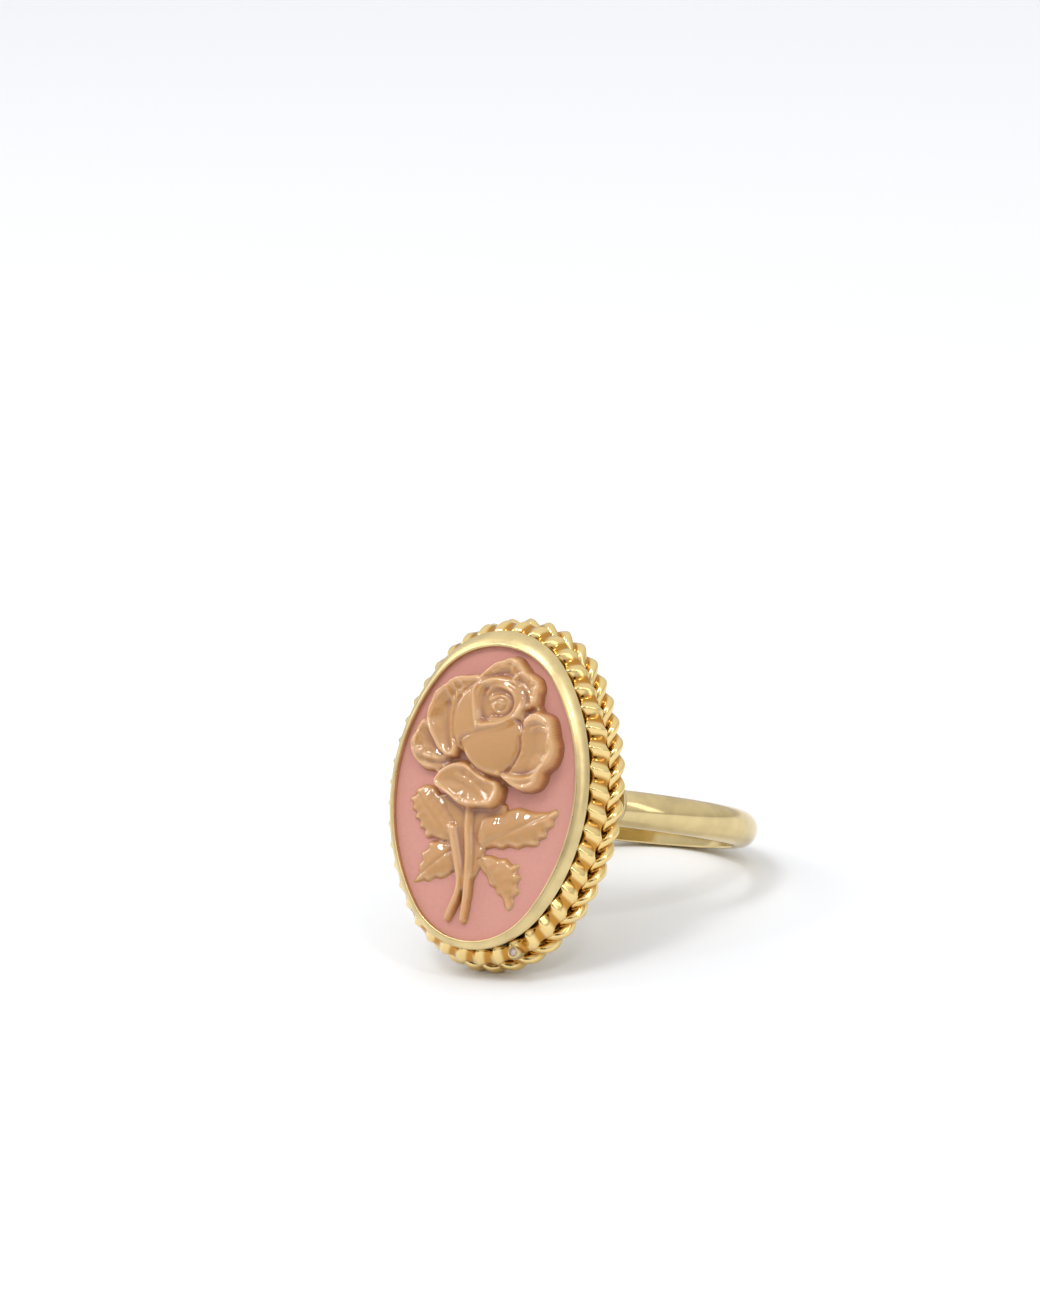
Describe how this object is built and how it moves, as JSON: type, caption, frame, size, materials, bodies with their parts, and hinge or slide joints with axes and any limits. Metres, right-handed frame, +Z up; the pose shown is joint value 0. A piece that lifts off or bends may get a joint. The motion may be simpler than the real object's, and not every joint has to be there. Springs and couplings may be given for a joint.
{
  "type": "cameo ring",
  "caption": "Finger ring with an oval cameo: a raised rose on a matt pink plaque in a slanted rim, framed by twisted wires on a round shank.",
  "frame": {"origin": "centre of the ring's footprint on the surface it lies on", "axes": "+Z up, +Y from the cameo towards the far side of the shank, X across the finger. The cameo faces -Y and upward."},
  "size_m": [0.0196, 0.0248, 0.0194],
  "materials": {
    "gold_plain": "polished yellow gold plate",
    "gold_twist": "polished yellow gold plate",
    "pink_plaque": "matt dusty pink",
    "caramel_relief": "glossy, slightly translucent caramel"
  },
  "bodies": {
    "root": {"ring_setting": "gold_plain", "twisted_wires": "gold_twist", "cameo_plaque": "pink_plaque", "rose_relief": "caramel_relief"}
  },
  "joints": []
}
